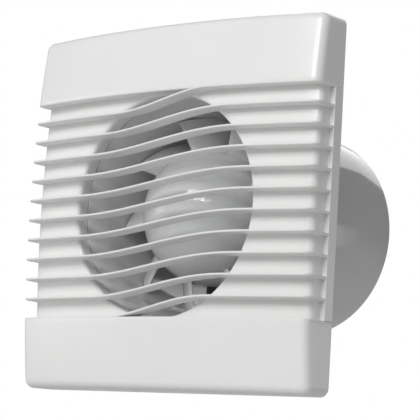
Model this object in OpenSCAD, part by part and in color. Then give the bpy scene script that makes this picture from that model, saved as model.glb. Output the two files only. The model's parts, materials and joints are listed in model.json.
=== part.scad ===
// Bathroom extractor fan for a 100 mm duct.
// X is to the right seen from the room, Z is up, and the fan blows along +Y into the wall.
// The origin is on the fan's axis, in the plane of the wall.

/* [Cover] */
// Side of the square cover
side = 164; // [160:1:176]
// How far the middle of the cover stands out from the wall
bulge = 29.6; // [28:0.2:34]
// Radius of the front across its width
curve_x = 380; // [340:10:460]
// Radius of the front from top to bottom
curve_z = 598; // [560:10:700]
// Wall thickness of the cover
skin = 2; // [1.6:0.1:2.4]
// Depth of the louvre field behind the front
recess = 6.5; // [5.5:0.1:7.5]
// Lower edge of the plain top band
band_top = 50.5; // [49:0.5:52]
// Upper edge of the plain bottom band
band_bottom = -50; // [-52:0.5:-49]

/* [Louvres] */
// Height from one louvre to the next
louvre_pitch = 9.24; // [8.8:0.02:9.6]
// Thickness of a louvre
louvre_t = 1.4; // [1.2:0.1:1.8]
// Radius of the round intake behind the louvres
intake_r = 50.1; // [49.6:0.1:50.4]

/* [Duct] */
// Outer radius of the duct spigot
spigot_r = 49; // [48.6:0.1:49.4]
// Outer radius at the spigot's end
spigot_end_r = 48.2; // [47.8:0.1:48.5]
// Length of the spigot behind the wall plane
spigot_len = 91; // [88:1:110]
// Inner radius of the duct round the impeller
bore_r = 46.6; // [46.4:0.1:46.9]
// Distance between two wall fixing holes
fixing_pitch = 145; // [143:1:146]

/* [Impeller] */
// Radius of the domed hub
hub_r = 32; // [30:0.5:32.5]
// Radius at the blade tips
tip_r = 45.9; // [45:0.1:46]
// Number of blades
blades = 9; // [7:1:10]

/* [Motor] */
// Radius of the motor shaft
shaft_r = 2; // [1.8:0.1:2.2]
// Thickness of the lamination stack
stack_t = 16; // [14:1:17]

/* [Hidden] */
$fn = 48;
half = side / 2;
corner_r = 4.5;
side_inset = 2.3;       // how far the louvre field is set in at each side
side_step = 5.9;        // where that inset ends, in front of the wall
gap = 0.3;              // running gap between a fixed and a moving piece
far = 60;
// base plate and the pegs that hold the cover
plate_half = half - skin - 0.5;
plate_corner = 3;
plate_t = 2.2;
rim_t = 1.6;
rim_front = 3.5;
fixing_r = 2.2;
pilot_r = 1.35;         // hole for a self-tapping screw
pegs = [[73, 56], [-73, 56], [73, -56], [-73, -56]];
peg_r = 2.2;
socket_in = 2.6;
socket_out = 4.5;
socket_front = -9;
// duct: a flared mouth, a plain bore and a tapered end
duct_front = -13;
flare_r = 49.8;
flare_out = flare_r + 1.4;
flare_from = -4;
taper_from = 60;
// impeller
dome_y = 17;            // plane of the dome's widest circle
skirt_y = 34;
hub_t = 1.8;
blade_front = 8;
blade_depth = 22;
blade_sweep = 20;       // tangential run of one blade
blade_t = 1.8;
first_blade = 105;      // angle of the first leading edge above +X
// motor
stack_y = 44;
bolt_x = 18.6;
bolt_r = 1.6;
bracket_t = 2.5;
foot = 3;
boss_r = 7;
bearing_r = 4.5;
bearing_len = 6;
rotor_r = 11.9;
stator_bore = 12.4;
leg_z = [-33, -26];
coil_x = 12.5;
damper_t = 3;
spider_t = 3;
stack_end = stack_y + stack_t;
rear_plate = stack_end + foot;
spider_y = rear_plate + bracket_t + damper_t;
groove_a = 225;         // where the wire groove runs along the spigot
groove_w = 4.6;
groove_d = 1.7;
groove_start = -5;
disc_r = 26;
ring_t = 1.3;           // wall of the ring that holds the struts
strut_h = 9;
damper_r = 4.4;
// terminal block and cable entry
block = [-55, -62];
block_size = [22, 13, 16];
pole_dx = 5.5;
clamp_y = -8.7;         // depth of the brass tubes' axes
grommet = [-22, -67];
grommet_r = 5;
clamp_boss_y = -6.5;
clamp_x = -33;
clamp_z = [-73, -60];

// A cylinder along +Y from y0 to y1
module rod(r, y0, y1, x = 0, z = 0) {
    translate([x, y0, z]) rotate([-90, 0, 0]) cylinder(r = r, h = y1 - y0);
}

module tube(r_out, r_in, y0, y1, x = 0, z = 0) {
    difference() {
        rod(r_out, y0, y1, x, z);
        rod(r_in, y0 - 1, y1 + 1, x, z);
    }
}

module box(x0, x1, y0, y1, z0, z1) {
    translate([x0, y0, z0]) cube([x1 - x0, y1 - y0, z1 - z0]);
}

// A flat outline drawn in X and Z, made thick from y0 to y1
module slab(y0, y1) {
    translate([0, y1, 0]) rotate([90, 0, 0]) linear_extrude(height = y1 - y0) children();
}

module rounded_square(h, r) {
    union() {
        square([2 * h, 2 * (h - r)], center = true);
        square([2 * (h - r), 2 * h], center = true);
        for (x = [-1, 1], z = [-1, 1]) translate([x * (h - r), z * (h - r)]) circle(r = r);
    }
}

// Space inside the bulged front, moved inwards by off: the outer side of a torus whose axis lies
// along X, so the front has one radius across and a larger one from top to bottom
module behind_front(off) {
    turn = 20;
    translate([0, curve_z - bulge, 0]) rotate([0, 90, 0]) rotate([0, 0, 270 - turn / 2])
        rotate_extrude(angle = turn, $fn = 360) intersection() {
            translate([curve_z - curve_x, 0]) circle(r = curve_x - off, $fn = 360);
            translate([curve_z - 45, -100]) square([60, 200]);
        }
}

// The block of the cover with its bulged front, moved inwards by off
module pillow(off, h, r, y_back) {
    intersection() {
        slab(-bulge - 5, y_back) rounded_square(h, r);
        behind_front(off);
    }
}

// Height of louvre k at x: level at both sides, and one pitch higher on the right of the intake
function louvre_left(k) = 42.2 - (k - 1) * louvre_pitch;
function louvre_mid(k) = louvre_left(k) + louvre_pitch / 2;
function half_run(k) = 14 + 0.62 * sqrt(max(52 * 52 - pow(louvre_mid(k), 2), 1));
run_centre = 4;
function wave(k, x) = louvre_left(k)
    + louvre_pitch / 2 * (1 + sin(90 * max(-1, min(1, (x - run_centre) / half_run(k)))));
wave_steps = 12;

module louvre_outline(k) {
    xs = [-half - 1, for (i = [0:wave_steps]) run_centre + half_run(k) * (2 * i / wave_steps - 1),
          half + 1];
    polygon(concat([for (x = xs) [x, wave(k, x) + louvre_t / 2]],
                   [for (i = [len(xs) - 1:-1:0]) [xs[i], wave(k, xs[i]) - louvre_t / 2]]));
}

module front_cover() color("white") {
    field = half - side_inset;
    difference() {
        pillow(0, half, corner_r, -gap);
        difference() {
            box(-far * 2, far * 2, -far, -side_step, band_bottom, band_top);
            pillow(recess, field, 1, 1);
        }
        difference() {
            pillow(skin, half - skin, corner_r - skin, 1);
            box(-far * 2, far * 2, -far, skin - side_step, band_bottom - skin, band_top + skin);
        }
        intersection() {
            pillow(recess + skin, field - skin, 1, 2);
            box(-far * 2, far * 2, -far, 2, band_bottom - skin, band_top + skin);
        }
        intersection() {
            rod(intake_r, -far, -12);
            box(-far, far, -far, -12, band_bottom, band_top);
        }
    }
    intersection() {
        tube(intake_r + skin, intake_r, -20, -14.5);
        box(-far, far, -far, 0, band_bottom - skin / 2, band_top + skin / 2);
    }
    difference() {
        intersection() {
            pillow(0, half, corner_r, -side_step + 0.5);
            slab(-far, 0) for (k = [1:11]) louvre_outline(k);
            box(-far * 2, far * 2, -far, 0, band_bottom - 0.5, band_top + 0.5);
        }
        pillow(recess + 0.2, field - 0.2, 1, 1);
    }
    for (p = pegs) rod(peg_r, -17.5, -4, p[0], p[1]);
}

// Half section of the duct: radius first, then depth
function duct_outline() = concat(
    [[spigot_r, 0], [spigot_r, taper_from], [spigot_end_r, spigot_len], [bore_r + 0.3, spigot_len],
     [bore_r, spigot_len - 7], [bore_r, flare_from]],
    [for (i = [1:5]) [flare_r - (flare_r - bore_r) * cos(18 * i),
                      flare_from + (duct_front - flare_from) * sin(18 * i)]],
    [[flare_out, duct_front], [flare_out, 0]]);

// Groove and slot for the two leads, cut along the duct and through its wall behind the motor
module lead_groove() {
    w = groove_w / 2;
    rotate([0, -groove_a, 0]) {
        box(spigot_r - groove_d, flare_out + 4, groove_start, spider_y + 4, -w, w);
        box(bore_r - 4, spigot_r + 1, spider_y - 0.5, spider_y + 4, -w, w);
    }
}

module duct() color("white") {
    difference() {
        rotate([-90, 0, 0]) rotate_extrude($fn = 96) polygon(duct_outline());
        lead_groove();
    }
}

module back_plate() color("whitesmoke") {
    difference() {
        union() {
            difference() {
                slab(-plate_t, 0) rounded_square(plate_half, plate_corner);
                rod(flare_out + 0.05, -5, 5, $fn = 96);
            }
            for (p = pegs) rod(socket_out, socket_front, -plate_t, p[0], p[1]);
            for (z = clamp_z) rod(3, clamp_boss_y, -plate_t, clamp_x, z);
            // rim that stiffens the plate
            difference() {
                slab(-rim_front, -plate_t) rounded_square(plate_half, plate_corner);
                slab(-6, 0) rounded_square(plate_half - rim_t, plate_corner - rim_t);
            }
        }
        for (p = pegs) rod(socket_in, -10, 1, p[0], p[1]);
        for (z = clamp_z) rod(pilot_r, -7, 1, clamp_x, z);
        rod(pilot_r, -3, 1, block[0], block[1] + 1);
        rod(grommet_r, -3, 1, grommet[0], grommet[1]);
        for (x = [-1, 1], z = [-1, 1])
            rod(fixing_r, -6, 1, x * fixing_pitch / 2, z * fixing_pitch / 2);
        lead_groove();
    }
}

// Ring, four struts and a centre disc behind the motor
module motor_support() color("white") {
    difference() {
        union() {
            rod(disc_r, spider_y, spider_y + spider_t);
            tube(bore_r, bore_r - ring_t, spider_y, spider_y + strut_h, $fn = 96);
            for (a = [45:90:315]) strut(a, a == groove_a ? [-4.6, -2.6] : [-1.5, 1.5]);
        }
        rod(10, spider_y - 1, spider_y + 20);
        for (x = [-1, 1]) rod(bolt_r + 0.3, spider_y - 1, spider_y + 20, x * bolt_x);
        for (x = [-1, 1]) rod(damper_r, spider_y + spider_t, spider_y + 20, x * bolt_x);
        lead_groove();
    }
}

// The strut beside the leads stands to one side of its radius, so that they pass it
module strut(a, w) {
    rotate([0, -a, 0]) box(20, bore_r - ring_t / 2, spider_y, spider_y + strut_h, w[0], w[1]);
}

module dome(r, y_back) {
    difference() {
        union() {
            translate([0, dome_y, 0]) sphere(r = r, $fn = 96);
            rod(r, dome_y, y_back);
        }
        if (y_back < dome_y + r) rod(r + 1, y_back, dome_y + r + 1);
    }
}

// One blade: a bent plate, its section drawn round the hub and depth, carried out along its radius
module blade() {
    bend_r = 36;
    bend_a = 2 * asin(norm([blade_sweep, blade_depth]) / 2 / bend_r);
    lean = atan(blade_sweep / blade_depth);
    intersection() {
        rotate([0, 90, 0]) linear_extrude(height = tip_r + 2)
            translate([0, blade_front]) rotate(-lean)
                translate([-bend_r * cos(bend_a / 2), bend_r * sin(bend_a / 2)])
                    blade_section(bend_r, bend_a);
        difference() {
            rod(tip_r, blade_front - 1, blade_front + blade_depth + 1);
            rod(hub_r - 1, blade_front - 5, blade_front + blade_depth + 5);
            translate([0, dome_y, 0]) sphere(r = hub_r - 0.9, $fn = 96);
        }
        box(10, 60, blade_front - 1, blade_front + blade_depth + 1, -40, 40);
    }
}

module blade_section(r, a) {
    n = 8;
    polygon(concat([for (i = [0:n]) let (b = a * i / n - a / 2) (r + blade_t / 2) * [cos(b), sin(b)]],
                   [for (i = [n:-1:0]) let (b = a * i / n - a / 2) (r - blade_t / 2) * [cos(b), sin(b)]]));
}

module impeller() color("gainsboro") {
    difference() {
        dome(hub_r, skirt_y);
        dome(hub_r - hub_t, skirt_y + 1);
    }
    difference() {
        rod(5, dome_y - hub_r + 1, 14);
        rod(shaft_r, -4, 15);
    }
    for (i = [0:blades - 1]) rotate([0, -first_blade - i * 360 / blades, 0]) blade();
}

module retaining_ring() color("silver") tube(6.1, 5, 10, 12.5);

module motor_shaft() color("silver") rod(shaft_r, -4, spider_y + 2);

module rotor_core() color("dimgray") tube(rotor_r, shaft_r, stack_y, stack_end);

module rotor_end_rings() color("silver") {
    tube(rotor_r - 0.6, 6.5, stack_y - 1.5, stack_y);
    tube(rotor_r - 0.6, 6.5, stack_end, stack_end + 1.5);
}

module thrust_washers() color("black") {
    tube(3.6, shaft_r, stack_y - 2.5, stack_y - 1.7);
    tube(3.6, shaft_r, stack_end + 1.7, stack_end + 2.5);
}

module bearing(y0) {
    tube(bearing_r, shaft_r + 0.03, y0, y0 + bearing_len);
}

front_plate = stack_y - foot - bracket_t;
module front_bearing() color("darkgoldenrod") bearing(front_plate - 3.5);

module rear_bearing() color("darkgoldenrod") bearing(rear_plate);

// Die-cast strip across the motor with a bearing boss in the middle and a foot at each end
module bracket(plate_y, boss_y, foot_y) {
    difference() {
        union() {
            box(-bolt_x - 4, bolt_x + 4, plate_y, plate_y + bracket_t, -6, 6);
            for (x = [-1, 1]) box(x * bolt_x - 4, x * bolt_x + 4, foot_y, foot_y + foot, -6, 6);
            rod(boss_r, boss_y, boss_y + bearing_len + 1);
        }
        rod(bearing_r, boss_y - 1, boss_y + bearing_len + 3);
        for (x = [-1, 1]) rod(bolt_r + 0.1, plate_y - 10, plate_y + 20, x * bolt_x);
    }
}

module front_bracket() color("silver") bracket(front_plate, front_plate - 4, stack_y - foot);

module rear_bracket() color("silver") bracket(rear_plate, rear_plate - 0.5, stack_end);

// Lamination stack: a block round the rotor, two side legs and the leg that carries the coil
module stator_core() color("slategray") {
    difference() {
        slab(stack_y, stack_end) difference() {
            translate([-23, leg_z[0]]) square([46, 18 - leg_z[0]]);
            translate([-15.5, leg_z[1]]) square([31, -17.5 - leg_z[1]]);
            circle(r = stator_bore, $fn = 64);
            for (x = [-1, 1]) translate([x * bolt_x, 0]) circle(r = bolt_r + 0.1);
            for (s = [[11, 11], [-11, -11]]) translate(s) square([1.6, 8], center = true);
        }
    }
}

// Heavy copper rings that shade one corner of each pole
module shading_rings() color("peru") {
    for (s = [1, -1], y = [stack_y - 1.4, stack_end])
        slab(y, y + 1.4) translate([s * 13.6, s * 10.6]) difference() {
            square([7.6, 5], center = true);
            square([4.2, 2], center = true);
        }
}

module coil_bobbin() color("ivory") {
    wall = 1;
    for (x = [-1, 1]) translate([x * (coil_x - wall / 2), 0, 0])
        difference() {
            box(-wall / 2, wall / 2, stack_y - 6, stack_end + 6, leg_z[0] - 6, leg_z[1] + 6);
            box(-wall, wall, stack_y - 0.1, stack_end + 0.1, leg_z[0] - 0.1, leg_z[1] + 0.1);
        }
    difference() {
        box(-coil_x + wall, coil_x - wall, stack_y - 1, stack_end + 1, leg_z[0] - 1, leg_z[1] + 1);
        box(-coil_x, coil_x, stack_y - 0.1, stack_end + 0.1, leg_z[0] - 0.1, leg_z[1] + 0.1);
    }
}

module coil_winding() color("sienna") {
    w = coil_x - 1;
    difference() {
        box(-w, w, stack_y - 5.5, stack_end + 5.5, leg_z[0] - 5.5, leg_z[1] + 5.5);
        box(-w - 1, w + 1, stack_y - 1, stack_end + 1, leg_z[0] - 1, leg_z[1] + 1);
    }
}

module motor_screws() color("silver") {
    for (x = [-1, 1]) {
        rod(bolt_r, front_plate - 3, spider_y + spider_t, x * bolt_x);
        difference() {
            rod(3.4, spider_y + spider_t, spider_y + spider_t + 2.4, x * bolt_x);
            translate([x * bolt_x, spider_y + spider_t + 2, 0]) cube([8, 1.6, 0.9], center = true);
        }
    }
}

module motor_nuts() color("silver") {
    for (x = [-1, 1]) difference() {
        translate([x * bolt_x, front_plate, 0]) rotate([90, 0, 0])
            cylinder(r = 3.2, h = 2.4, $fn = 6);
        rod(bolt_r, front_plate - 5, front_plate + 1, x * bolt_x);
    }
}

module rubber_dampers() color("black") {
    for (x = [-1, 1]) tube(damper_r, bolt_r, rear_plate + bracket_t, spider_y, x * bolt_x);
}

// Two insulated leads from the coil to the terminal block, point by point
wire_r = 0.75;
lead_low = [[-6, 66.1, -35.5], [-7, 67.6, -35.3], [-14, 69, -34], [-24, 70, -32.4], [-30.3, 70.2, -31.9],
            [-32.9, 70.2, -34.5], [-33.2, 69, -34.8], [-33.2, 66, -34.8], [-33.2, -0.6, -34.8],
            [-34.2, -1.9, -35.8], [-36.2, -3, -37.8], [-36.9, -4.2, -38.4], [-37.6, -5.6, -39],
            [-42, -7.6, -42.6], [-48.6, -8.7, -48.6], [-49.5, -8.7, -51], [-49.5, -8.7, -58]];
lead_high = [[-9, 66.1, -29], [-10, 67.6, -28.8], [-16, 69, -28.4], [-25, 70, -28.2], [-30, 70.2, -28.8],
             [-31.9, 70.2, -30.3], [-34.5, 70.2, -32.9], [-34.8, 69, -33.2], [-34.8, 66, -33.2],
             [-34.8, -0.6, -33.2], [-35.8, -1.9, -34.2], [-37.8, -3, -36.2], [-38.4, -4.2, -36.9],
             [-39, -5.6, -37.6], [-47, -7.6, -40.5], [-57.5, -8.7, -46.5], [-60.5, -8.7, -50],
             [-60.5, -8.7, -58]];

function unit(v) = v / norm(v);
function heading(route, i) = unit(route[min(i + 1, len(route) - 1)] - route[max(i - 1, 0)]);
function square_to(v, t) = unit(v - (v * t) * t);
function side_ways(route, i, v) = i == len(route) ? []
    : let (u = square_to(v, heading(route, i))) concat([u], side_ways(route, i + 1, u));

// A round wire of eight sides, swept along the points of its route
module wire(route) {
    n = 8;
    rings = len(route);
    us = side_ways(route, 0, [0.3, 0.5, 0.8]);
    points = [for (i = [0:rings - 1], k = [0:n - 1])
        let (u = us[i], w = cross(heading(route, i), u))
            route[i] + wire_r * (cos(360 * k / n) * u + sin(360 * k / n) * w)];
    sides = [for (i = [0:rings - 2], k = [0:n - 1]) let (a = i * n + k, b = i * n + (k + 1) % n)
        each [[a, a + n, b + n], [a, b + n, b]]];
    ends = [[for (k = [0:n - 1]) k], [for (k = [n - 1:-1:0]) (rings - 1) * n + k]];
    polyhedron(points, concat(sides, ends));
}

module lead_wires() {
    color("saddlebrown") wire(lead_high);
    color("royalblue") wire(lead_low);
}

block_back = -plate_t;
block_front = block_back - block_size[1];
module terminal_block() color("ivory") {
    difference() {
        box(block[0] - block_size[0] / 2, block[0] + block_size[0] / 2, block_front, block_back,
            block[1] - block_size[2] / 2, block[1] + block_size[2] / 2);
        for (x = [-1, 1]) {
            translate([block[0] + x * pole_dx, clamp_y, block[1] - 20]) cylinder(r = 3, h = 40);
            for (z = [-1, 1]) rod(1.9, block_front - 1, clamp_y, block[0] + x * pole_dx, block[1] + z * 4);
        }
        rod(pilot_r, block_front - 1, 0, block[0], block[1] + 1);
        rod(2.6, block_front - 1, block_front + 6, block[0], block[1] + 1);
    }
}

module terminal_clamps() color("gold") {
    for (x = [-1, 1]) difference() {
        translate([block[0] + x * pole_dx, clamp_y, block[1] - 7]) cylinder(r = 3, h = 14);
        translate([block[0] + x * pole_dx, clamp_y, block[1] - 8]) cylinder(r = 1.9, h = 16);
        for (z = [-1, 1]) rod(1.3, clamp_y - 4, clamp_y, block[0] + x * pole_dx, block[1] + z * 4);
    }
}

module terminal_screws() color("silver") {
    for (x = [-1, 1], z = [-1, 1]) difference() {
        rod(1.3, block_front + 1, clamp_y - 1, block[0] + x * pole_dx, block[1] + z * 4);
        translate([block[0] + x * pole_dx, block_front + 1, block[1] + z * 4])
            cube([4, 1.2, 0.6], center = true);
    }
}

// A pan-head screw that points along +Y: shank from y0 to y1, head in front of y0
module pan_screw(x, z, y0, y1, head_r, head_t) {
    rod(1.3, y0, y1, x, z);
    difference() {
        rod(head_r, y0 - head_t, y0, x, z);
        translate([x, y0 - head_t, z]) cube([0.7, 1.6, head_r * 1.3], center = true);
        translate([x, y0 - head_t, z]) cube([head_r * 1.3, 1.6, 0.7], center = true);
    }
}

module block_screw() color("silver") pan_screw(block[0], block[1] + 1, block_front + 6, -0.4, 2.4, 2);

module cable_clamp() color("white") {
    difference() {
        union() {
            box(clamp_x - 3, clamp_x + 3, clamp_boss_y - 2.5, clamp_boss_y,
                clamp_z[0] - 3.4, clamp_z[1] + 3.4);
            box(clamp_x - 3, clamp_x + 3, clamp_boss_y, clamp_boss_y + 1.1, clamp_z[0] + 4, clamp_z[1] - 4);
        }
        for (z = clamp_z) rod(pilot_r, -10, 0, clamp_x, z);
    }
}

module clamp_screws() color("silver") {
    for (z = clamp_z) pan_screw(clamp_x, z, -9, -0.4, 2.6, 1.8);
}

module cable_grommet() color("dimgray") {
    difference() {
        union() {
            rod(grommet_r, -plate_t, 0, grommet[0], grommet[1]);
            rod(6.4, -plate_t - 1.6, -plate_t, grommet[0], grommet[1]);
        }
        rod(3.3, -10, 5, grommet[0], grommet[1]);
    }
}

front_cover();
back_plate();
duct();
motor_support();
impeller();
retaining_ring();
motor_shaft();
rotor_core();
rotor_end_rings();
thrust_washers();
front_bearing();
rear_bearing();
front_bracket();
rear_bracket();
stator_core();
shading_rings();
coil_bobbin();
coil_winding();
motor_screws();
motor_nuts();
rubber_dampers();
lead_wires();
terminal_block();
terminal_clamps();
terminal_screws();
block_screw();
cable_clamp();
clamp_screws();
cable_grommet();
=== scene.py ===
# %% [markdown]
# # A bathroom extractor fan
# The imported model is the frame: every sub-part of the fan at its real size, in metres, with the
# fan's axis along Y, the room in front (-Y) and the wall plane at y = 0. The moulded pieces that
# show are built again here with finer shapes, and the rest keep their CAD shapes and get finishes.

# %% Load the frame
import json
import math

import bmesh
import bpy
import numpy as np
from mathutils import Matrix, Vector


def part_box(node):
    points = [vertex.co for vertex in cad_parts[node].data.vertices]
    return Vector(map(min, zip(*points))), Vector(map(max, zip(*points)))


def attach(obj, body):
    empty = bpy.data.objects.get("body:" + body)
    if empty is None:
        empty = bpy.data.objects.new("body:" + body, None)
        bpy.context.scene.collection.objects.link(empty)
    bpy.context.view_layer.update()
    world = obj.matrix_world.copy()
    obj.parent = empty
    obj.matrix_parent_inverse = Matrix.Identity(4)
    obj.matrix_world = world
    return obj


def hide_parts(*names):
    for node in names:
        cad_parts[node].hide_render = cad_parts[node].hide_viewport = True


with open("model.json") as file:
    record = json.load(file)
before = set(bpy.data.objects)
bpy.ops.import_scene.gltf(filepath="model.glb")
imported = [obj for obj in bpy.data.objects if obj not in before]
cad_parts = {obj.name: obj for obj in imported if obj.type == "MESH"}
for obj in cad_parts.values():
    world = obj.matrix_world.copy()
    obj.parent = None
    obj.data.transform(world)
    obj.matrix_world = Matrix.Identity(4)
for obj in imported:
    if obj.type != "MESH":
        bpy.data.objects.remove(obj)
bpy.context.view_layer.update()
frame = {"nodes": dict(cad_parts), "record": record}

# %% [markdown]
# Shapes are worked out in millimetres, as a toolmaker would, and turned into metres only when the
# mesh is made. The main sizes come from the boxes of the CAD nodes.

# %% Main sizes
MM = 0.001
cover_lo, cover_hi = (np.array(v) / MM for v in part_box("front_cover"))
duct_lo, duct_hi = (np.array(v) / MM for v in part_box("duct"))
half = cover_hi[0]
bulge = -cover_lo[1]
back_edge = cover_hi[1]
spigot_end = duct_hi[1]
print(f"cover {2 * half:.1f} mm square, {bulge:.1f} mm proud; spigot ends at {spigot_end:.1f} mm")

# %% [markdown]
# A small product looks right through a long lens from a step back. The camera stands to the right
# of the fan and a little below its axis, looks slightly up, and is rolled by three degrees.

# %% Camera
view_turn = math.radians(39.0233)
view_rise = math.radians(-7.3193)
view_roll = math.radians(3.3244)
view_distance = 0.887367
aim = Vector((0.0118806, 0, 0.0003988))

back = Vector((math.sin(view_turn) * math.cos(view_rise),
               -math.cos(view_turn) * math.cos(view_rise),
               math.sin(view_rise)))
level_right = (-back).cross(Vector((0, 0, 1))).normalized()
level_up = back.cross(level_right)
right = math.cos(view_roll) * level_right + math.sin(view_roll) * level_up
up = back.cross(right)

lens = bpy.data.cameras.new("camera")
lens.sensor_width = 36
lens.lens = 169.54
lens.clip_start = 0.05
lens.clip_end = 50
camera = bpy.data.objects.new("camera", lens)
bpy.context.scene.collection.objects.link(camera)
turn = Matrix((right, up, back)).transposed()
camera.matrix_world = Matrix.Translation(aim + back * view_distance) @ turn.to_4x4()
bpy.context.scene.camera = camera
bpy.context.scene.view_settings.view_transform = "Standard"
print("camera at", [round(v, 3) for v in camera.matrix_world.translation])

# %% [markdown]
# A finish is a Principled shader whose colour, roughness and bump each get a little life from
# noise on Object coordinates. The pieces stand at the origin, so 1 unit of noise is 1 metre, and a
# scale of 900 makes grains of about a millimetre.

# %% A shader with constants
def shader(name, colour, rough, metal=0.0, **constants):
    """A new material with a Principled shader; constants set sockets by name"""
    made = bpy.data.materials.new(name)
    made.use_nodes = True
    made.diffuse_color = (*colour, 1)
    principled = made.node_tree.nodes["Principled BSDF"]
    principled.inputs["Base Color"].default_value = (*colour, 1)
    principled.inputs["Roughness"].default_value = rough
    principled.inputs["Metallic"].default_value = metal
    for socket, value in constants.items():
        principled.inputs[socket.replace("_", " ")].default_value = value
    return made


print("finishes start from one Principled shader each")

# %% Patterns, and what they drive
def noise(made, scale, detail=3.0, stretch=(1, 1, 1), offset=(0, 0, 0)):
    """Noise on Object coordinates; stretch squeezes it along an axis, for brushed metal"""
    nodes, links = made.node_tree.nodes, made.node_tree.links
    place = nodes.new("ShaderNodeTexCoord")
    mapping = nodes.new("ShaderNodeMapping")
    mapping.inputs["Scale"].default_value = stretch
    mapping.inputs["Location"].default_value = offset
    texture = nodes.new("ShaderNodeTexNoise")
    texture.inputs["Scale"].default_value = scale
    texture.inputs["Detail"].default_value = detail
    links.new(place.outputs["Object"], mapping.inputs["Vector"])
    links.new(mapping.outputs["Vector"], texture.inputs["Vector"])
    return texture.outputs["Fac"]


def ramp(made, value, stops):
    """Colours between two or more stops (place, colour), chosen by value"""
    node = made.node_tree.nodes.new("ShaderNodeValToRGB")
    made.node_tree.links.new(value, node.inputs["Fac"])
    elements = node.color_ramp.elements
    while len(elements) < len(stops):
        elements.new(0.5)
    for element, (place, colour) in zip(elements, stops):
        element.position = place
        element.color = (*colour, 1)
    return node.outputs["Color"]


def vary_colour(made, value, dark, light):
    """Base colour that drifts between two close colours"""
    out = ramp(made, value, [(0.3, dark), (0.7, light)])
    socket = made.node_tree.nodes["Principled BSDF"].inputs["Base Color"]
    made.node_tree.links.new(out, socket)


def vary_roughness(made, value, low, high):
    """Roughness that drifts between low and high"""
    node = made.node_tree.nodes.new("ShaderNodeMapRange")
    node.inputs["From Min"].default_value = 0.3
    node.inputs["From Max"].default_value = 0.7
    node.inputs["To Min"].default_value = low
    node.inputs["To Max"].default_value = high
    made.node_tree.links.new(value, node.inputs["Value"])
    socket = made.node_tree.nodes["Principled BSDF"].inputs["Roughness"]
    made.node_tree.links.new(node.outputs["Result"], socket)


def bump(made, value, depth_mm, strength=1.0):
    """Raises the surface by up to depth_mm where value is 1; several bumps add up"""
    nodes, links = made.node_tree.nodes, made.node_tree.links
    socket = nodes["Principled BSDF"].inputs["Normal"]
    node = nodes.new("ShaderNodeBump")
    node.inputs["Strength"].default_value = strength
    node.inputs["Distance"].default_value = depth_mm * MM
    links.new(value, node.inputs["Height"])
    if socket.is_linked:
        links.new(socket.links[0].from_socket, node.inputs["Normal"])
    links.new(node.outputs["Normal"], socket)


print("patterns can drive colour, roughness and bump")

# %% [markdown]
# Injection-moulded ABS from a polished tool is glossy, but not a mirror: it has a faint ripple a
# few millimetres long, a finer orange peel, and slow changes of gloss where the melt cooled
# unevenly. The same recipe serves the cover, the satin housing and the impeller.

# %% Moulded plastic
def moulded(name, colour, rough, peel_mm, shade=0.008):
    """ABS: slow colour drift, gloss that varies, ripple and orange peel"""
    made = shader(name, colour, rough, Specular_IOR_Level=0.5, Subsurface_Weight=0.0)
    dark = tuple(c * (1 - shade) for c in colour)
    light = tuple(min(1.0, c * (1 + shade)) for c in colour)
    vary_colour(made, noise(made, 35, 4), dark, light)
    vary_roughness(made, noise(made, 60, 3, offset=(3, 1, 2)), rough * 0.92, rough * 1.1)
    bump(made, noise(made, 120, 0, offset=(5, 5, 1)), peel_mm * 2.0, 0.2)
    bump(made, noise(made, 1100, 1), peel_mm, 0.22)
    return made


cover_white = moulded("cover_white", (0.82, 0.82, 0.815), 0.22, 0.010)
# The housing gets a darker white than the cover: painted shade that darkens the inside of the duct. The
# rear_top and right_low panels light its outside back up.
housing_white = moulded("housing_white", (0.63, 0.63, 0.625), 0.10, 0.004)
impeller_grey = moulded("impeller_grey", (0.70, 0.705, 0.71), 0.10, 0.004)
print("plastics:", cover_white.name, housing_white.name, impeller_grey.name)

# %% [markdown]
# Metals: a base tint with metallic 1 and noise stretched along one axis, so that the marks of
# drawing, turning or punching run the right way. The lamination stacks get a fine band pattern
# along the fan's axis, one band for each half-millimetre sheet.

# %% Metals
def metal(name, colour, rough, grain=(1, 1, 1), grain_scale=600, depth_mm=0.006, tone=0.12):
    """Metal with grain: noise stretched by grain changes tint, roughness and height"""
    made = shader(name, colour, rough, 1.0)
    marks = noise(made, grain_scale, 4, grain)
    vary_colour(made, marks, tuple(c * (1 - tone) for c in colour), colour)
    vary_roughness(made, noise(made, 300, 4, offset=(1, 7, 3)), rough * 0.8, rough * 1.3)
    bump(made, marks, depth_mm, 0.5)
    return made


def bands(made, spacing_mm, depth_mm, direction="Y"):
    """Parallel sheets seen edge on: a sine band every spacing_mm along one axis"""
    nodes, links = made.node_tree.nodes, made.node_tree.links
    place = nodes.new("ShaderNodeTexCoord")
    texture = nodes.new("ShaderNodeTexWave")
    texture.bands_direction = direction
    texture.inputs["Scale"].default_value = 0.314 / (spacing_mm * MM)
    texture.inputs["Distortion"].default_value = 0.4
    texture.inputs["Detail Scale"].default_value = 4
    links.new(place.outputs["Object"], texture.inputs["Vector"])
    bump(made, texture.outputs["Fac"], depth_mm, 0.8)
    return texture.outputs["Fac"]


steel = metal("bright_steel", (0.62, 0.62, 0.63), 0.28, (1, 0.05, 1))
core_steel = metal("core_steel", (0.27, 0.28, 0.30), 0.42, (1, 1, 1), 900, 0.01, 0.3)
sheet_mm = 0.5
bands(core_steel, sheet_mm, 0.08)
cast_alloy = metal("cast_alloy", (0.55, 0.56, 0.57), 0.46, (1, 1, 1), 1800, 0.03)
bronze = metal("sintered_bronze", (0.50, 0.36, 0.19), 0.5, (1, 1, 1), 3500, 0.03, 0.3)
brass = metal("brass", (0.75, 0.57, 0.27), 0.26, (0.08, 1, 1))
copper = metal("copper", (0.72, 0.36, 0.22), 0.3, (1, 1, 1), 700)
print("metals: 6, with sheets", sheet_mm, "mm apart in the cores")

# %% [markdown]
# The rest: enamelled wire, natural nylon that lets a little light in, black fibre washers, rubber
# with its dusty bloom, and the soft sleeve of the two leads. The leads are one slot in two
# colours, so a separate material serves each.

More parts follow.
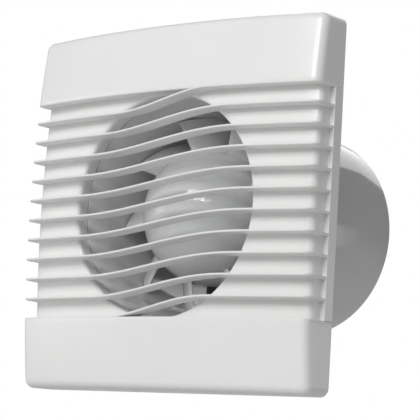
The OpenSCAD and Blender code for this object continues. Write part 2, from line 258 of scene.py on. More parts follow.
# %% Wire, nylon, rubber and sleeves
enamel = shader("enamel_copper", (0.34, 0.10, 0.035), 0.22, 0.0, Coat_Weight=0.6)
vary_colour(enamel, noise(enamel, 500, 3), (0.26, 0.07, 0.025), (0.42, 0.14, 0.05))
vary_roughness(enamel, noise(enamel, 300, 2), 0.18, 0.34)
bump(enamel, noise(enamel, 2500, 2), 0.01, 0.4)

nylon = moulded("nylon_natural", (0.74, 0.70, 0.58), 0.38, 0.015, 0.05)
nylon.node_tree.nodes["Principled BSDF"].inputs["Subsurface Weight"].default_value = 0.15
nylon.node_tree.nodes["Principled BSDF"].inputs["Subsurface Scale"].default_value = 0.002

fibre = shader("fibre_black", (0.03, 0.03, 0.03), 0.6)
vary_colour(fibre, noise(fibre, 3000, 4, (1, 0.2, 1)), (0.015, 0.014, 0.013), (0.06, 0.05, 0.045))
bump(fibre, noise(fibre, 3000, 3), 0.02)


def rubbery(name, colour):
    """Rubber: matt, fine-grained, with a paler bloom in patches"""
    made = shader(name, colour, 0.65, 0.0, Sheen_Weight=0.2)
    bloom = tuple(c * 1.6 + 0.01 for c in colour)
    vary_colour(made, noise(made, 120, 5), colour, bloom)
    vary_roughness(made, noise(made, 700, 3), 0.55, 0.8)
    bump(made, noise(made, 2600, 2), 0.02, 0.6)
    return made


def sleeved(name, colour):
    """PVC sleeve: half gloss with slight scuffs along the lead"""
    made = shader(name, colour, 0.35)
    vary_colour(made, noise(made, 200, 4), tuple(c * 0.85 for c in colour), colour)
    vary_roughness(made, noise(made, 900, 3), 0.28, 0.5)
    bump(made, noise(made, 1500, 2), 0.01, 0.5)
    return made


rubber_black = rubbery("rubber_black", (0.018, 0.018, 0.018))
rubber_grey = rubbery("rubber_grey", (0.09, 0.09, 0.095))
sleeve_brown = sleeved("sleeve_brown", (0.16, 0.06, 0.025))
sleeve_blue = sleeved("sleeve_blue", (0.02, 0.09, 0.34))
print("soft finishes:", ", ".join(m.name for m in (rubber_black, rubber_grey, sleeve_brown, sleeve_blue)))

# %% Give every CAD node its finish
FINISH = {"cover_white": cover_white, "housing_white": housing_white,
          "impeller_grey": impeller_grey, "steel": steel, "core_steel": core_steel,
          "cast_alloy": cast_alloy, "bronze": bronze, "brass": brass, "copper": copper,
          "enamel_copper": enamel, "nylon_natural": nylon, "fibre_black": fibre,
          "rubber_black": rubber_black, "rubber_grey": rubber_grey, "pvc_leads": sleeve_brown}
for part in frame["record"]["subparts"]:
    mesh = frame["nodes"][part["node"]].data
    mesh.materials.clear()
    mesh.materials.append(FINISH[part["material_slot"]])

# %% [markdown]
# New pieces are grids of points. A sheet is an array of shape (rows, columns, 3) in millimetres,
# and the helpers below turn sheets into one mesh: cells become faces, edges that meet are merged,
# and the normals are turned outwards, which works because every solid is closed.

# %% Grids to meshes
def cells(rows, columns, first=0, ring_rows=False, ring_columns=False):
    """The four corners of every cell of a grid, as an array; a ring joins its end to its start"""
    i = np.arange(rows if ring_rows else rows - 1)[:, None]
    j = np.arange(columns if ring_columns else columns - 1)[None, :]
    near, far = i * columns, ((i + 1) % rows) * columns
    beside = (j + 1) % columns
    corners = [near + j, near + beside, far + beside, far + j]
    return first + np.stack(corners, -1).reshape(-1, 4)


def add_piece(name, points, faces, body, material, sharp=32, merge_mm=0.0005):
    """Makes a mesh object of points in mm, merges its seams and turns its faces outwards"""
    mesh = bpy.data.meshes.new(name)
    mesh.from_pydata((np.asarray(points, float) * MM).tolist(), [], [list(f) for f in faces])
    work = bmesh.new()
    work.from_mesh(mesh)
    bmesh.ops.remove_doubles(work, verts=work.verts, dist=merge_mm * MM)
    bmesh.ops.dissolve_degenerate(work, edges=work.edges, dist=1e-8)
    bmesh.ops.recalc_face_normals(work, faces=work.faces)
    work.to_mesh(mesh)
    work.free()
    mesh.polygons.foreach_set("use_smooth", np.ones(len(mesh.polygons), bool))
    mesh.set_sharp_from_angle(angle=math.radians(sharp))
    mesh.materials.append(material)
    piece = bpy.data.objects.new(name, mesh)
    bpy.context.scene.collection.objects.link(piece)
    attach(piece, body)
    print(f"{name}: {len(mesh.vertices)} points, {len(mesh.polygons)} faces")
    return piece


def gather(sheets):
    """Joins (points, faces) pairs into one list of points and one of faces"""
    points, faces, first = [], [], 0
    for sheet_points, sheet_faces in sheets:
        points.append(np.asarray(sheet_points, float).reshape(-1, 3))
        faces.extend((np.asarray(f) + first).tolist() for f in sheet_faces)
        first += len(points[-1])
    return np.concatenate(points), faces


def solid_grid(grid, ring_rows=False, ring_columns=False, caps=False):
    """One grid as (points, faces); caps close the two ends of a tube whose columns are a ring"""
    rows, columns = grid.shape[:2]
    faces = list(cells(rows, columns, 0, ring_rows, ring_columns))
    if caps:
        faces.append(np.arange(columns)[::-1])
        faces.append((rows - 1) * columns + np.arange(columns))
    return grid.reshape(-1, 3), faces


def turned(profile, count=128):
    """A lathe: profile is a closed loop of (radius, y) carried round the fan's axis"""
    angle = np.linspace(0, 2 * np.pi, count, endpoint=False)[:, None]
    radius, depth = np.asarray(profile, float).T
    grid = np.stack([radius * np.cos(angle), np.broadcast_to(depth, (count, len(depth))),
                     radius * np.sin(angle)], -1)
    return solid_grid(grid, ring_rows=True, ring_columns=True)


# %% [markdown]
# ## The front cover
# The cover is one moulding, 2 mm thick. Its front is bulged both ways, like a slice of a very
# large tyre, its rim has a 4 mm radius, and between two plain bands the whole middle is sunk
# 6.5 mm, which leaves the room in which the louvres stand. It could be modelled from a cube with
# booleans and bevels, but the sunk field and the pillow front would leave a ragged mesh. A rounded
# shape is the same as a smaller sharp one with a ball rolled over it, so each point here is a
# point of that smaller core plus a radius times the direction in which the surface faces. The
# inner wall is the same sheet with the radius made 2 mm less.

# %% The bulged front
curve_x = 380.0
curve_z = 598.0


def front_depth(x, z, inwards):
    """Depth y of the bulged front moved inwards: a circle of radius curve_x across the width,
    itself carried round a larger circle of radius curve_z from top to bottom"""
    reach = (curve_z - curve_x) + np.sqrt((curve_x - inwards) ** 2 - np.square(x))
    return curve_z - bulge - np.sqrt(reach ** 2 - np.square(z))


middle_depth, side_depth = (float(front_depth(x, 0, 0)) for x in (0, half))
print(f"front at the middle {middle_depth:.2f} mm, at the side {side_depth:.2f} mm")

# %% Sizes of the cover
skin = 2.0
recess = 6.5
rim_radius = 4.2
field_radius = 3.0
side_inset = 2.3
side_step = 5.9
band_top = 50.5
band_bottom = -50.0
intake_radius = 50.1
lip_radius = 1.9
collar_back = -13.4
edge_radius = 0.6
rim_core = half - rim_radius
field_core = half - side_inset - field_radius
print(f"bands end at z {band_top} and {band_bottom}; the intake is {2 * intake_radius} mm across")

# %% Outline across the cover
front_steps = 112
wall_steps = 6
bend = np.linspace(0, 1, 9)[1:-1]
wall_share = np.linspace(0, 1, wall_steps + 1)[1:]
side_count = 4 + wall_steps + len(bend)
columns = 2 * side_count + front_steps + 1


def across(core, radius, reach, push, z, step):
    """The cover's outline at height z, from the left back edge over the front to the right: a
    straight wall, a bend and the bulged front. Each point is a core point plus reach times the
    way the surface faces; push is how far the whole front lies behind the cover's own front."""
    height = np.broadcast_to(z, columns)
    ends = [height[:side_count], height[::-1][:side_count]]
    even = np.linspace(-1, 1, front_steps + 1)
    x_core = core * (0.7 * even + 0.3 * np.sin(even * np.pi / 2))
    lean = x_core / (curve_x - push - radius)
    x_front = x_core + reach * lean
    y_front = (front_depth(x_core, height[side_count:-side_count], push + radius)
               - reach * np.sqrt(1 - lean ** 2))
    turn_by = np.arccos(core / (curve_x - push - radius)) * bend
    x_side = np.concatenate([np.full(4 + wall_steps, core + reach), core + reach * np.cos(turn_by)])
    y_sides = []
    for end in ends:
        y_core = front_depth(core, end, push + radius)
        y_back = np.array([back_edge, (back_edge - step) / 2, -step, -step])
        y_wall = -step + (y_core[4:4 + wall_steps] + step) * wall_share
        y_bend = y_core[4 + wall_steps:] - reach * np.sin(turn_by)
        y_sides.append(np.concatenate([y_back, y_wall, y_bend]))
    x = np.concatenate([-x_side, x_front, x_side[::-1]])
    y = np.concatenate([y_sides[0], y_front, y_sides[1][::-1]])
    return x, y


print("points across the cover:", columns)

# %% Rows of the cover, from top to bottom
def skin_sheet(inwards):
    """The moulded skin as one grid: top face, rim bend, top band, its edge and end wall, the sunk
    field, and the same down to the bottom face"""
    reach = rim_radius - inwards
    step = side_step - inwards

    def outer_row(core_z, tilt, lift=0.0, flat=0.0, height=None):
        x, y = across(rim_core, rim_radius, (reach - lift) * math.cos(tilt), 0, core_z, step)
        y = y + (back_edge - y) * flat
        z = core_z + (reach - lift) * math.sin(tilt) if height is None else height
        return np.stack([x, y, np.full(columns, z)], -1)

    def inner_row(z):
        x, y = across(field_core, field_radius, field_radius - inwards, recess, z, step)
        outer_x, outer_y = across(rim_core, rim_radius, reach, 0, z, step)
        keep = np.zeros(columns, bool)
        keep[:3] = True
        keep[-3:] = True
        x = np.where(keep, outer_x, x)
        y = np.where(keep, outer_y, y)
        if inwards == 0:
            y = y + lip_drop(np.hypot(x, z)) * (np.abs(x) < field_core)
        return np.stack([x, y, np.full(columns, z)], -1)

    def half_rows(sign, edge):
        edge = edge + sign * inwards
        tilt_top = math.asin(rim_core / (curve_z - rim_radius))
        made = [outer_row(sign * rim_core, sign * math.pi / 2, 0, f) for f in (1, 0.75, 0.5, 0.25)]
        made += [outer_row(sign * rim_core, sign * t)
                 for t in np.linspace(math.pi / 2, tilt_top, 10)]
        start = (sign * edge + edge_radius) / (1 + reach / (curve_z - rim_radius))
        for core_z in np.linspace(rim_core, start, 16)[1:]:
            made.append(outer_row(sign * core_z, sign * math.asin(core_z / (curve_z - rim_radius))))
        tilt = sign * math.asin(start / (curve_z - rim_radius))
        for turn_by in np.linspace(0, math.pi / 2, 5)[1:]:
            lift = edge_radius * (1 - math.cos(turn_by))
            height = edge + sign * edge_radius * (1 - math.sin(turn_by))
            made.append(outer_row(sign * start, tilt, lift, 0, height))
        last = made[-1]
        foot = inner_row(edge)
        made += [last + (foot - last) * f for f in (0.25, 0.5, 0.75)]
        return made

    top = half_rows(1, band_top)
    bottom = half_rows(-1, band_bottom)
    middle = [inner_row(z) for z in np.linspace(band_top + inwards, band_bottom - inwards, 90)]
    rows = top + middle + bottom[::-1]
    return np.array(rows), len(top), len(middle)


def lip_drop(radius):
    """How far the rounded lip of the intake falls behind the plate at a given radius: nothing
    outside the lip, then a quarter circle"""
    over = np.clip(intake_radius + lip_radius - radius, 0, lip_radius)
    return lip_radius - np.sqrt(np.maximum(lip_radius ** 2 - over ** 2, 0))


outside, top_rows, field_rows = skin_sheet(0.0)
inside, _, _ = skin_sheet(skin)
print("skin grid", outside.shape[:2], "field rows", field_rows)

# %% The plate with its round intake
def plate_sheet(sheet, inwards):
    """The sunk plate: straight lines run from every point of its outline to the lip of the round
    intake, then over the lip and back along the collar"""
    first, last = top_rows, top_rows + field_rows - 1
    left, right_end = side_count, columns - side_count - 1
    outline = np.concatenate([sheet[first, left:right_end],
                              sheet[first:last, right_end],
                              sheet[last, left + 1:right_end + 1][::-1],
                              sheet[first + 1:last + 1, left][::-1]])
    angle = np.arctan2(outline[:, 2], outline[:, 0])
    reach = np.hypot(outline[:, 0], outline[:, 2])
    ring = intake_radius + (lip_radius if inwards == 0 else inwards)
    start = np.minimum(ring, reach)
    rows = [outline]
    for share in np.linspace(0, 1, 9)[1:]:
        radius = reach + (start - reach) * share
        x, z = radius * np.cos(angle), radius * np.sin(angle)
        y = front_depth(x, z, recess + inwards)
        if inwards == 0:
            y = y + lip_drop(radius)
        rows.append(np.stack([x, y, z], -1))
    final = intake_radius + inwards
    if inwards == 0:
        for turn_by in np.linspace(0, math.pi / 2, 8)[1:]:
            round_off = final + lip_radius * (1 - math.sin(turn_by))
            radius = np.minimum(start, round_off)
            x, z = radius * np.cos(angle), radius * np.sin(angle)
            rows.append(np.stack([x, front_depth(x, z, recess) + lip_drop(radius), z], -1))
    x, z = final * np.cos(angle), final * np.sin(angle)
    top_y = rows[-1][:, 1]
    for share in (0.5, 1.0):
        rows.append(np.stack([x, top_y + (collar_back - top_y) * share, z], -1))
    return np.array(rows)


plate_out = plate_sheet(outside, 0.0)
plate_in = plate_sheet(inside, skin)
print("plate grid", plate_out.shape[:2])

# %% The four pegs that hold the cover
peg_radius = 2.2
peg_end = -4.0
peg_x, peg_z = 73.0, 56.0


def peg(x, z):
    """A short pin behind the skin with a rounded end, a lathe shape moved off the axis"""
    start = float(front_depth(x, z, skin)) - 0.5
    profile = [[0, start], [peg_radius, start], [peg_radius, peg_end - 0.8],
               [peg_radius - 0.25, peg_end - 0.25], [peg_radius - 0.8, peg_end], [0, peg_end]]
    points, faces = turned(profile, 48)
    return points + np.array([x, 0, z]), faces


pegs = [peg(a * peg_x, b * peg_z) for a in (-1, 1) for b in (-1, 1)]
print("pegs reach back to", peg_end, "mm")

# %% Close the skin and place it
def open_cells(rows, count):
    """Cells of the skin grid without those of the sunk plate, which has its own sheet"""
    faces = cells(rows, count)
    row, column = np.divmod(np.arange(len(faces)), count - 1)
    hole = ((row >= top_rows) & (row < top_rows + field_rows - 1)
            & (column >= side_count) & (column < count - side_count - 1))
    return faces[~hole]


def rim_strip(a, b):
    """A strip of faces between two equal lists of points"""
    return solid_grid(np.stack([a, b]))


skin_faces = open_cells(outside.shape[0], columns)
cover_sheets = [
    (outside.reshape(-1, 3), list(skin_faces)),
    (inside.reshape(-1, 3), list(skin_faces)),
    solid_grid(plate_out, ring_columns=True),
    solid_grid(plate_in, ring_columns=True),
    solid_grid(np.stack([plate_out[-1], plate_in[-1]]), ring_columns=True),
    rim_strip(outside[:, 0], inside[:, 0]),
    rim_strip(outside[:, -1], inside[:, -1]),
    rim_strip(outside[0], inside[0]),
    rim_strip(outside[-1], inside[-1]),
] + pegs
points, faces = gather(cover_sheets)
cover_skin = add_piece("cover_skin", points, faces, "cover", cover_white, 40)
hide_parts("front_cover")

# %% [markdown]
# ## The louvres
# Eleven thin fins stand on the sunk plate. Each is level at the left, climbs by one pitch across
# the round intake and is level again at the right, which gives the cover its wave. They are
# moulded with draft, so a fin is thicker at its root than at its tip, and its tip is rounded. Each
# fin wraps over the rim and runs down the side. A fin is a section, the same all along, carried
# along a path: the path's outer edge lies in the cover's own surface, and its root in the field.

# %% Path of one louvre
pitch = 9.24
run_centre = 4.0
root_half = 0.95


def wave_height(number, x):
    """Height of a louvre's middle: half a sine between two level runs, one pitch apart"""
    low = 42.2 - (number - 1) * pitch
    middle = low + pitch / 2
    run = 14 + 0.62 * math.sqrt(max(52 ** 2 - middle ** 2, 1))
    share = np.clip((x - run_centre) / run, -1, 1)
    return low + pitch / 2 * (1 + np.sin(share * np.pi / 2))


section_h = np.array([0, 0.5, 0.86, 0.94, 0.985, 1, 0.985, 0.94, 0.86, 0.5, 0])
section_t = np.array([-1, -0.76, -0.58, -0.52, -0.36, 0, 0.36, 0.52, 0.58, 0.76, 1]) * root_half


def louvre(number):
    """A fin: the section's height runs from the root in the field to the tip in the front"""
    z = wave_height(number, across(rim_core, rim_radius, rim_radius, 0, 0.0, side_step)[0])
    tip = np.stack(across(rim_core, rim_radius, rim_radius - 0.03, 0, z, side_step - 0.3), -1)
    root = np.stack(across(field_core, field_radius, field_radius - 0.5, recess, z,
                           side_step - 0.3), -1)
    fin = slice(3, columns - 3)
    share = section_h[None, :, None]
    flat = tip[fin, None] * share + root[fin, None] * (1 - share)
    height = z[fin, None] + section_t
    return solid_grid(np.concatenate([flat, height[..., None]], -1), ring_columns=True, caps=True)


points, faces = gather([louvre(n) for n in range(1, 12)])
add_piece("cover_louvres", points, faces, "cover", cover_white, 50)

# %% [markdown]
# ## The impeller
# A smooth domed hub with nine blades round it, moulded in one. The dome is a lathe shape with a
# closed pole and a hollow back. A blade is a thin curved section, rounded at its leading edge and
# thinner at its tail, carried outwards from the hub to the tip while it turns back a little, as
# the real blades sweep. It turns anticlockwise seen from the room.

# %% The dome
hub_radius = 32.0
hub_centre = 17.0
hub_wall = 1.8
skirt_back = 34.0
arc = np.linspace(0, np.pi / 2, 40)
outer_dome = np.stack([hub_radius * np.sin(arc), hub_centre - hub_radius * np.cos(arc)], -1)
inner_dome = np.stack([(hub_radius - hub_wall) * np.sin(arc),
                       hub_centre - (hub_radius - hub_wall) * np.cos(arc)], -1)[::-1]
lip = [[hub_radius - 0.1, skirt_back - 0.5], [hub_radius - 0.5, skirt_back],
       [hub_radius - hub_wall + 0.4, skirt_back], [hub_radius - hub_wall, skirt_back - 0.4]]
hub = turned(np.concatenate([outer_dome, lip, inner_dome]), 160)
boss_profile = [[2.0, -12.5], [5.4, -13.5], [5.0, 4], [5.0, 13.4], [4.6, 14], [2.4, 14],
                [2.0, 13.6]]
boss = turned(boss_profile, 64)
print("dome profile points:", len(outer_dome) + len(lip) + len(inner_dome))

# %% The blades
blade_count = 9
blade_tip = 45.9
blade_front = 8.0
blade_depth = 22.0
blade_sweep = 20.0
blade_bend = 36.0
blade_half = 0.95
first_blade = math.radians(105)
sweep_back = math.radians(0.4)


def blade_section():
    """Middle line of the section, as an arc through its two ends, and its half thickness: a
    rounded nose, an even body and a thin tail"""
    chord = math.hypot(blade_sweep, blade_depth)
    opening = math.asin(chord / 2 / blade_bend)
    lean = math.atan2(blade_sweep, blade_depth)
    share = np.concatenate([[0.0, 0.008, 0.025, 0.05], np.linspace(0.09, 0.95, 20), [0.985, 1.0]])
    turn_by = (2 * share - 1) * opening
    along = chord / 2 + blade_bend * np.sin(turn_by)
    sag = blade_bend * (np.cos(turn_by) - math.cos(opening))
    run = along * math.sin(lean) + sag * math.cos(lean)
    depth = along * math.cos(lean) - sag * math.sin(lean)
    nose = np.sqrt(np.clip(1 - ((0.05 - np.minimum(share, 0.05)) / 0.05) ** 2, 0, 1))
    tail = np.clip((1 - share) / 0.03, 0, 1) ** 0.5
    thick = blade_half * nose * tail * (1 - 0.3 * share)
    return run, depth, thick, np.sin(lean - turn_by), np.cos(lean - turn_by)


def blade(number):
    """The section wrapped round the axis at every radius: its run becomes an angle"""
    run, depth, thick, tangent_run, tangent_depth = blade_section()
    side_run = np.concatenate([run + thick * tangent_depth, (run - thick * tangent_depth)[::-1]])
    side_depth = np.concatenate([depth - thick * tangent_run, (depth + thick * tangent_run)[::-1]])
    side_depth = blade_front + side_depth
    behind = np.sqrt(np.maximum(hub_radius ** 2 - np.minimum(side_depth - hub_centre, 0) ** 2, 1))
    root = behind - 0.9
    share = np.linspace(0, 1, 12)[:, None]
    radius = root[None, :] + (blade_tip - root[None, :]) * share
    start = first_blade + number * 2 * math.pi / blade_count
    angle = start + sweep_back * (radius - hub_radius) - side_run[None, :] / radius
    grid = np.stack([radius * np.cos(angle), np.broadcast_to(side_depth, radius.shape),
                     radius * np.sin(angle)], -1)
    return solid_grid(grid, ring_columns=True, caps=True)


points, faces = gather([hub, boss] + [blade(n) for n in range(blade_count)])
impeller = add_piece("impeller_moulding", points, faces, "rotor", impeller_grey, 45)
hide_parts("impeller")

# %% [markdown]
# ## The duct
# The duct is turned, so it is a lathe shape: a straight spigot for the hose, a slight taper and a
# rounded rim at its end, and inside a long cone that leads the air from the intake to the blades.
# A groove for the leads runs along it, which a lathe can't give, so the outer radius is also a
# function of the angle: where the groove is, the outer points move in by its depth.

# %% The duct's wall
groove_angle = math.radians(225)
groove_half = 2.3
groove_depth = 1.7
slot_from, slot_to = 68.0, 72.5
duct_front = duct_lo[1]
bore = 46.6
mouth = 49.8
outline_out = [[51.0, duct_front], [51.2, duct_front + 0.3], [51.2, -2.4], [51.2, -0.3],
               [50.9, 0], [49.3, 0], [49.0, 0.3], [49.0, 6], [49.0, 30], [49.0, 60],
               [48.6, 75], [48.25, spigot_end - 0.8], [48.1, spigot_end - 0.25],
               [47.8, spigot_end]]
outline_in = [[47.3, spigot_end], [47.0, spigot_end - 0.25], [46.9, spigot_end - 0.8],
              [bore, spigot_end - 7], [bore, 60], [bore, 30], [bore, 1.5], [46.75, -1.5],
              [47.1, -3.5], [47.8, -6], [48.8, -9.5], [mouth - 0.25, duct_front + 0.8],
              [mouth, duct_front + 0.15], [50.0, duct_front]]


def duct_wall(count=360):
    """A lathe shape whose outer points move in where the groove is; the groove's sides are made
    steep by adding turns just beside its edges"""
    edge = groove_half / 49.0
    near = groove_angle + np.array([-edge * 1.02, -edge, edge, edge * 1.02])
    angle = np.sort(np.concatenate([np.linspace(0, 2 * np.pi, count, endpoint=False), near]))
    off = np.abs((angle - groove_angle + np.pi) % (2 * np.pi) - np.pi)
    inside_groove = (off <= edge * 1.001).astype(float)[:, None]
    out_radius, out_depth = np.array(outline_out).T
    in_radius, in_depth = np.array(outline_in).T
    grooved = np.clip((out_depth + 3) / 1.0, 0, 1)[None, :]
    least = np.interp(out_depth, in_depth[::-1], in_radius[::-1]) + 0.35
    low = np.maximum(np.minimum(out_radius, 49.0) - groove_depth, least)
    bottom = out_radius + (low - out_radius) * grooved
    wide = out_radius + (bottom - out_radius) * inside_groove
    radius = np.concatenate([wide, np.broadcast_to(in_radius, (len(angle), len(in_radius)))], 1)
    depth = np.broadcast_to(np.concatenate([out_depth, in_depth]), radius.shape)
    turn_to = angle[:, None]
    grid = np.stack([radius * np.cos(turn_to), depth, radius * np.sin(turn_to)], -1)
    return solid_grid(grid, ring_rows=True, ring_columns=True)


points, faces = duct_wall()
duct = add_piece("duct_moulding", points, faces, "base", housing_white, 30)
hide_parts("duct")

# %% [markdown]
# ## The motor coil and its leads
# Enamelled wire lies on the bobbin in close turns, so the winding's outside is ribbed. A tube for
# every turn would be thousands of faces that no one sees, so the winding is one closed ring whose
# section is a rounded rectangle with a scalloped edge, one scallop for each turn.

# %% The winding
coil_lo, coil_hi = (np.array(v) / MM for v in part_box("coil_winding"))


def rounded_loop(half_y, half_z, corner, count):
    """Points round a rectangle with rounded corners, evenly spaced, in the Y-Z plane"""
    quarter = np.linspace(0, np.pi / 2, count)
    pieces = []
    for n, (sy, sz) in enumerate([(1, 1), (-1, 1), (-1, -1), (1, -1)]):
        turn_by = quarter + n * np.pi / 2
        pieces.append(np.stack([sy * (half_y - corner) + corner * np.cos(turn_by),
                                sz * (half_z - corner) + corner * np.sin(turn_by)], -1))
    return np.concatenate(pieces)


def winding():
    """The ring of wire: for each place along X the same rounded loop, swollen and pinched by a
    sine so that every turn shows"""
    centre = (coil_lo + coil_hi) / 2
    size = (coil_hi - coil_lo) / 2
    wire = 0.42
    turns = int(2 * size[0] / wire)
    x = np.linspace(-size[0] + 0.02, size[0] - 0.02, turns * 6 + 1)
    ripple = 0.12 * np.abs(np.sin(np.pi * turns * (x + size[0]) / (2 * size[0])))
    loop_out = rounded_loop(size[1], size[2], 3.0, 7)
    loop_in = rounded_loop(size[1] - 4.4, size[2] - 4.4, 0.6, 7)
    shrink = 1 - (0.14 - ripple)[:, None, None] / np.abs(size[1:]).min()
    outer = np.broadcast_to(loop_out, (len(x), *loop_out.shape)) * shrink
    inner = np.broadcast_to(loop_in, (len(x), *loop_in.shape))
    place = np.broadcast_to(x[:, None], outer.shape[:2])
    wall_out = np.stack([place, outer[..., 0], outer[..., 1]], -1) + centre
    wall_in = np.stack([place, inner[..., 0], inner[..., 1]], -1) + centre
    sheets = [solid_grid(wall_out, ring_columns=True), solid_grid(wall_in, ring_columns=True)]
    for end in (0, -1):
        sheets.append(solid_grid(np.stack([wall_out[end], wall_in[end]]), ring_columns=True))
    return gather(sheets)


points, faces = winding()
coil = add_piece("coil_turns", points, faces, "base", enamel, 60)
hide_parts("coil_winding")

# %% [markdown]
# Two insulated leads run from the coil out through the duct's wall, along its groove to the front
# and into the terminal block. Each is a round tube on a smooth curve through the points of its
# route (a Catmull-Rom curve: between two points it leaves each in the direction of their
# neighbours).

# %% The leads
lead_radius = 0.75
lead_low = [[-6, 66.1, -35.5], [-7, 67.6, -35.3], [-14, 69, -34], [-24, 70, -32.4],
            [-30.3, 70.2, -31.9], [-32.9, 70.2, -34.5], [-33.2, 69, -34.8], [-33.2, 66, -34.8],
            [-33.2, 33, -34.8], [-33.2, 2, -34.8], [-33.2, -0.6, -34.8], [-34.2, -1.9, -35.8],
            [-36.2, -3, -37.8], [-36.9, -4.2, -38.4], [-37.6, -5.6, -39], [-42, -7.6, -42.6],
            [-48.6, -8.7, -48.6], [-49.5, -8.7, -51], [-49.5, -8.7, -58]]
lead_high = [[-9, 66.1, -29], [-10, 67.6, -28.8], [-16, 69, -28.4], [-25, 70, -28.2],
             [-30, 70.2, -28.8], [-31.9, 70.2, -30.3], [-34.5, 70.2, -32.9], [-34.8, 69, -33.2],
             [-34.8, 66, -33.2], [-34.8, 33, -33.2], [-34.8, 2, -33.2], [-34.8, -0.6, -33.2],
             [-35.8, -1.9, -34.2], [-37.8, -3, -36.2], [-38.4, -4.2, -36.9], [-39, -5.6, -37.6],
             [-47, -7.6, -40.5], [-57.5, -8.7, -46.5], [-60.5, -8.7, -50], [-60.5, -8.7, -58]]


def smooth_path(route, steps=6):
    """Each span is a cubic from one point to the next; the direction at a point is the slope
    through its neighbours, scaled to the span's own length"""
    p = np.array(route, float)
    span = np.linalg.norm(np.diff(p, axis=0), axis=1)
    direction = np.gradient(p, np.concatenate([[0], np.cumsum(span)]), axis=0)
    t = np.linspace(0, 1, steps, endpoint=False)[None, :, None]
    a, b = p[:-1, None], p[1:, None]
    da, db = direction[:-1, None] * span[:, None, None], direction[1:, None] * span[:, None, None]
    curve = ((2 * t ** 3 - 3 * t ** 2 + 1) * a + (t ** 3 - 2 * t ** 2 + t) * da
             + (3 * t ** 2 - 2 * t ** 3) * b + (t ** 3 - t ** 2) * db)
    return np.concatenate([curve.reshape(-1, 3), p[-1:]])


def tube(path, radius, sides=14):
    """A round tube: at every point of the path a circle square to it"""
    along = np.gradient(path, axis=0)
    along /= np.linalg.norm(along, axis=1)[:, None]
    guide = np.array([0.31, 0.52, 0.79])
    across_a = guide - (along @ guide)[:, None] * along
    across_a /= np.linalg.norm(across_a, axis=1)[:, None]
    across_b = np.cross(along, across_a)
    angle = np.linspace(0, 2 * np.pi, sides, endpoint=False)
    ring = across_a[:, None] * np.cos(angle)[:, None] + across_b[:, None] * np.sin(angle)[:, None]
    return solid_grid(path[:, None] + radius * ring, ring_columns=True, caps=True)


points, faces = tube(smooth_path(lead_high), lead_radius)
lead_brown = add_piece("lead_brown", points, faces, "base", sleeve_brown, 60)
points, faces = tube(smooth_path(lead_low), lead_radius)
lead_blue = add_piece("lead_blue", points, faces, "base", sleeve_blue, 60)
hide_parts("lead_wires")

# %% [markdown]
# ## Floor, backdrop and light
# The fan is shown on its own against white: a pale floor below it, and a glowing white sheet well
# behind it, square to the camera and wide enough to fill the view.

# %% Stage
def stage_plane(name, corners, material):
    """One flat sheet given by its corners, in metres"""
    mesh = bpy.data.meshes.new(name)
    mesh.from_pydata([tuple(c) for c in corners], [], [tuple(range(len(corners)))])
    mesh.materials.append(material)
    plane = bpy.data.objects.new(name, mesh)
    bpy.context.scene.collection.objects.link(plane)
    return plane


floor_height = -0.2
pale = shader("pale_floor", (0.66, 0.66, 0.66), 0.7)
vary_colour(pale, noise(pale, 3, 3), (0.645, 0.645, 0.645), (0.675, 0.675, 0.675))
floor_reach = 6.0
stage_plane("floor", [(a * floor_reach, b * floor_reach, floor_height)
                      for a, b in ((-1, -1), (1, -1), (1, 1), (-1, 1))], pale)

glow = bpy.data.materials.new("white_backdrop")
glow.use_nodes = True
glow.node_tree.nodes.clear()
emission = glow.node_tree.nodes.new("ShaderNodeEmission")
emission.inputs["Color"].default_value = (1, 1, 1, 1)
emission.inputs["Strength"].default_value = 1.0
out = glow.node_tree.nodes.new("ShaderNodeOutputMaterial")
glow.node_tree.links.new(emission.outputs["Emission"], out.inputs["Surface"])
backdrop_distance = 3.0
wall_centre = aim - back * backdrop_distance
span = 0.75
stage_plane("backdrop", [wall_centre + right * a * span + up * b * span
                         for a, b in ((-1, -1), (1, -1), (1, 1), (-1, 1))], glow)
print("floor", floor_height, "m below the axis; backdrop", 2 * span, "m square")

# %% [markdown]
# White plastic shows only what lights it, so the lights are few and soft. The key is a window of
# six panes a little above the camera, in front of the cover. Six small panes further to the right
# add hardly any light, but the glossy hub mirrors them as a glint. One panel behind and above
# lights the top of the spigot, one low on the right its shaded side, and one on the left the ends
# of the louvres. The sky is a gradient that is brightest at the front left.

# %% Panels
def panel(name, place, target, size, power):
    """A square soft light at place that looks at target"""
    data = bpy.data.lights.new(name, "AREA")
    data.size = size
    data.energy = power
    lamp = bpy.data.objects.new(name, data)
    lamp.location = place
    lamp.rotation_mode = "QUATERNION"
    lamp.rotation_quaternion = (Vector(target) - Vector(place)).to_track_quat("-Z", "Y")
    bpy.context.scene.collection.objects.link(lamp)
    return lamp


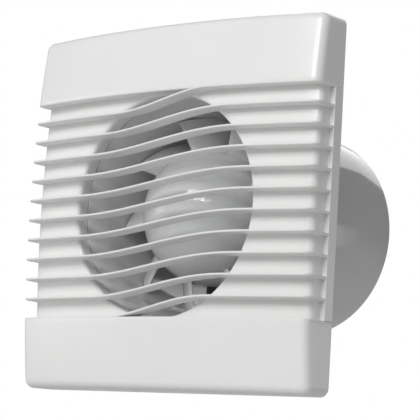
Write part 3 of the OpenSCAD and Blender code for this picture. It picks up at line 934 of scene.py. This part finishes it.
middle = Vector((0, 0.02, 0))
print("lights look at", list(middle))

# %% Windows
def window(name, place, pane, step, power):
    """Panes of light in three columns and two rows, like a window, facing the fan"""
    back_way = (Vector(place) - middle).normalized()
    side_way = back_way.cross(Vector((0, 0, 1))).normalized()
    up_way = side_way.cross(back_way)
    for column in (-1, 0, 1):
        for row in (0, 1):
            spot = Vector(place) + (side_way * column + up_way * (row - 0.5)) * step
            panel(f"{name}_{column + 1}_{row}", spot, spot - back_way, pane, power)


window("key", (0.20, -1.52, 0.82), 0.29, 0.32, 2.55)
window("glint", (0.79, -1.52, 0.65), 0.12, 0.16, 0.30)
print("window panes:", len(bpy.data.lights))

# %% Three more panels
panel("rear_top", (-0.32, 1.0, 0.85), middle, 0.9, 3.7)
panel("right_low", (0.95, 0.95, -0.12), middle, 0.5, 1.0)
panel("left_fill", (-1.5, -0.9, 0.1), middle, 0.7, 2)
print("lights:", len(bpy.data.lights))

# %% Sky
world = bpy.data.worlds.new("studio")
bpy.context.scene.world = world
world.use_nodes = True
tree = world.node_tree
direction = tree.nodes.new("ShaderNodeTexCoord")
brightest = tree.nodes.new("ShaderNodeVectorMath")
brightest.operation = "DOT_PRODUCT"
brightest.inputs[1].default_value = Vector((-0.45, -0.75, 0.48)).normalized()
sky = tree.nodes.new("ShaderNodeValToRGB")
dimmest_grey, brightest_grey = 0.06, 0.44
for element, place, grey in zip(sky.color_ramp.elements, (0, 1), (dimmest_grey, brightest_grey)):
    element.position = place
    element.color = (grey, grey, grey, 1)
shift = tree.nodes.new("ShaderNodeMapRange")
shift.inputs["From Min"].default_value = -1
shift.inputs["From Max"].default_value = 1
tree.links.new(direction.outputs["Generated"], brightest.inputs[0])
tree.links.new(brightest.outputs["Value"], shift.inputs["Value"])
tree.links.new(shift.outputs["Result"], sky.inputs["Fac"])
tree.links.new(sky.outputs["Color"], tree.nodes["Background"].inputs["Color"])
tree.nodes["Background"].inputs["Strength"].default_value = 1.0
print("sky from", dimmest_grey, "to", brightest_grey)
